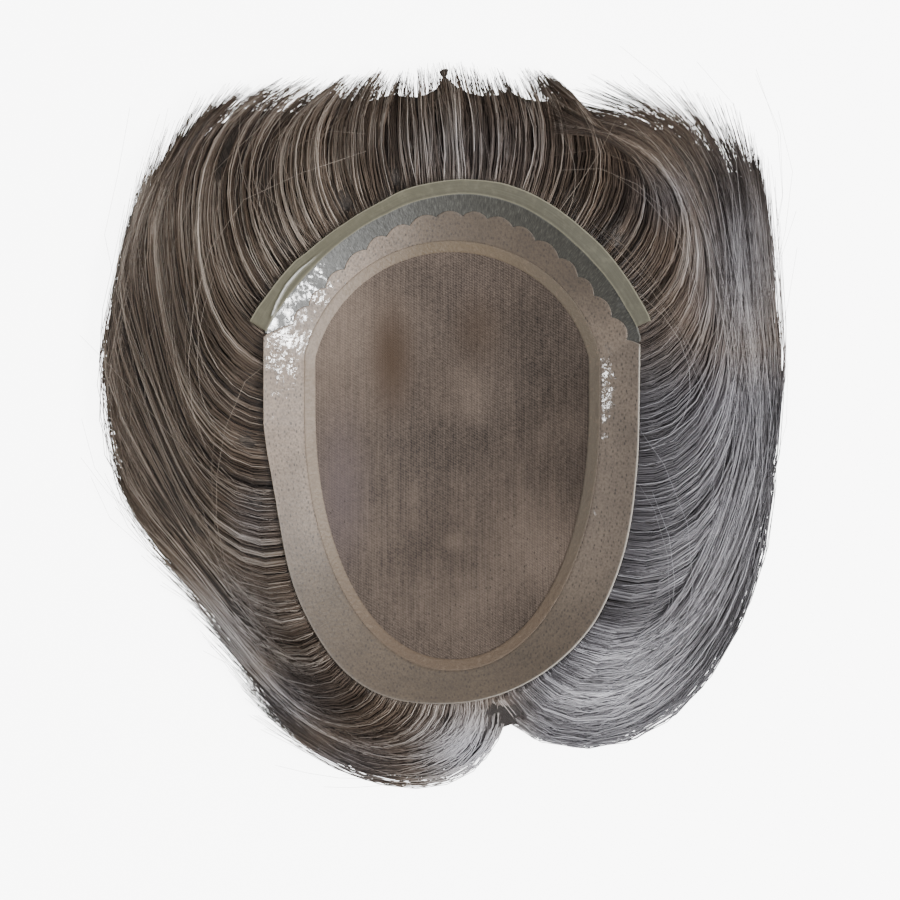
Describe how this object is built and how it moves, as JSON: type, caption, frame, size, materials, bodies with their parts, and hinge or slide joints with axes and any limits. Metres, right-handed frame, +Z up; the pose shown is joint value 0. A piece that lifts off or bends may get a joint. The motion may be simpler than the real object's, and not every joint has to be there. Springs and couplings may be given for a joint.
{
  "type": "toupee hairpiece",
  "caption": "Toupee lying scalp side up: a bowl-shaped mesh and skin cap with a scalloped front, clear skin and film, and grey hair combed forward round it.",
  "frame": {"origin": "under the crown of the cap, on the surface that the hairpiece lies on", "axes": "+Y to the forehead, +Z up to the scalp side, +X to the right in the picture"},
  "size_m": [0.3455, 0.3678, 0.0419],
  "materials": {
    "mono_mesh": "fine brown-grey monofilament mesh",
    "seam_tape": "sewn beige tape",
    "skin_coating": "beige polyurethane skin coating, satin to glossy",
    "clear_skin": "clear polyurethane skin with hair showing through",
    "trim_film": "grey-green semi-transparent film",
    "crown_hair": "pressed grey-brown hair",
    "left_hair": "combed grey-brown hair",
    "right_hair": "combed silver-grey hair",
    "front_hair": "combed grey-brown hair"
  },
  "bodies": {
    "root": {"mono_panel": "mono_mesh", "seam_tape": "seam_tape", "skin_border": "skin_coating", "front_clear_skin": "clear_skin", "front_trim_film": "trim_film", "crown_hair": "crown_hair", "left_hair": "left_hair", "right_hair": "right_hair", "front_hair": "front_hair"}
  },
  "joints": []
}
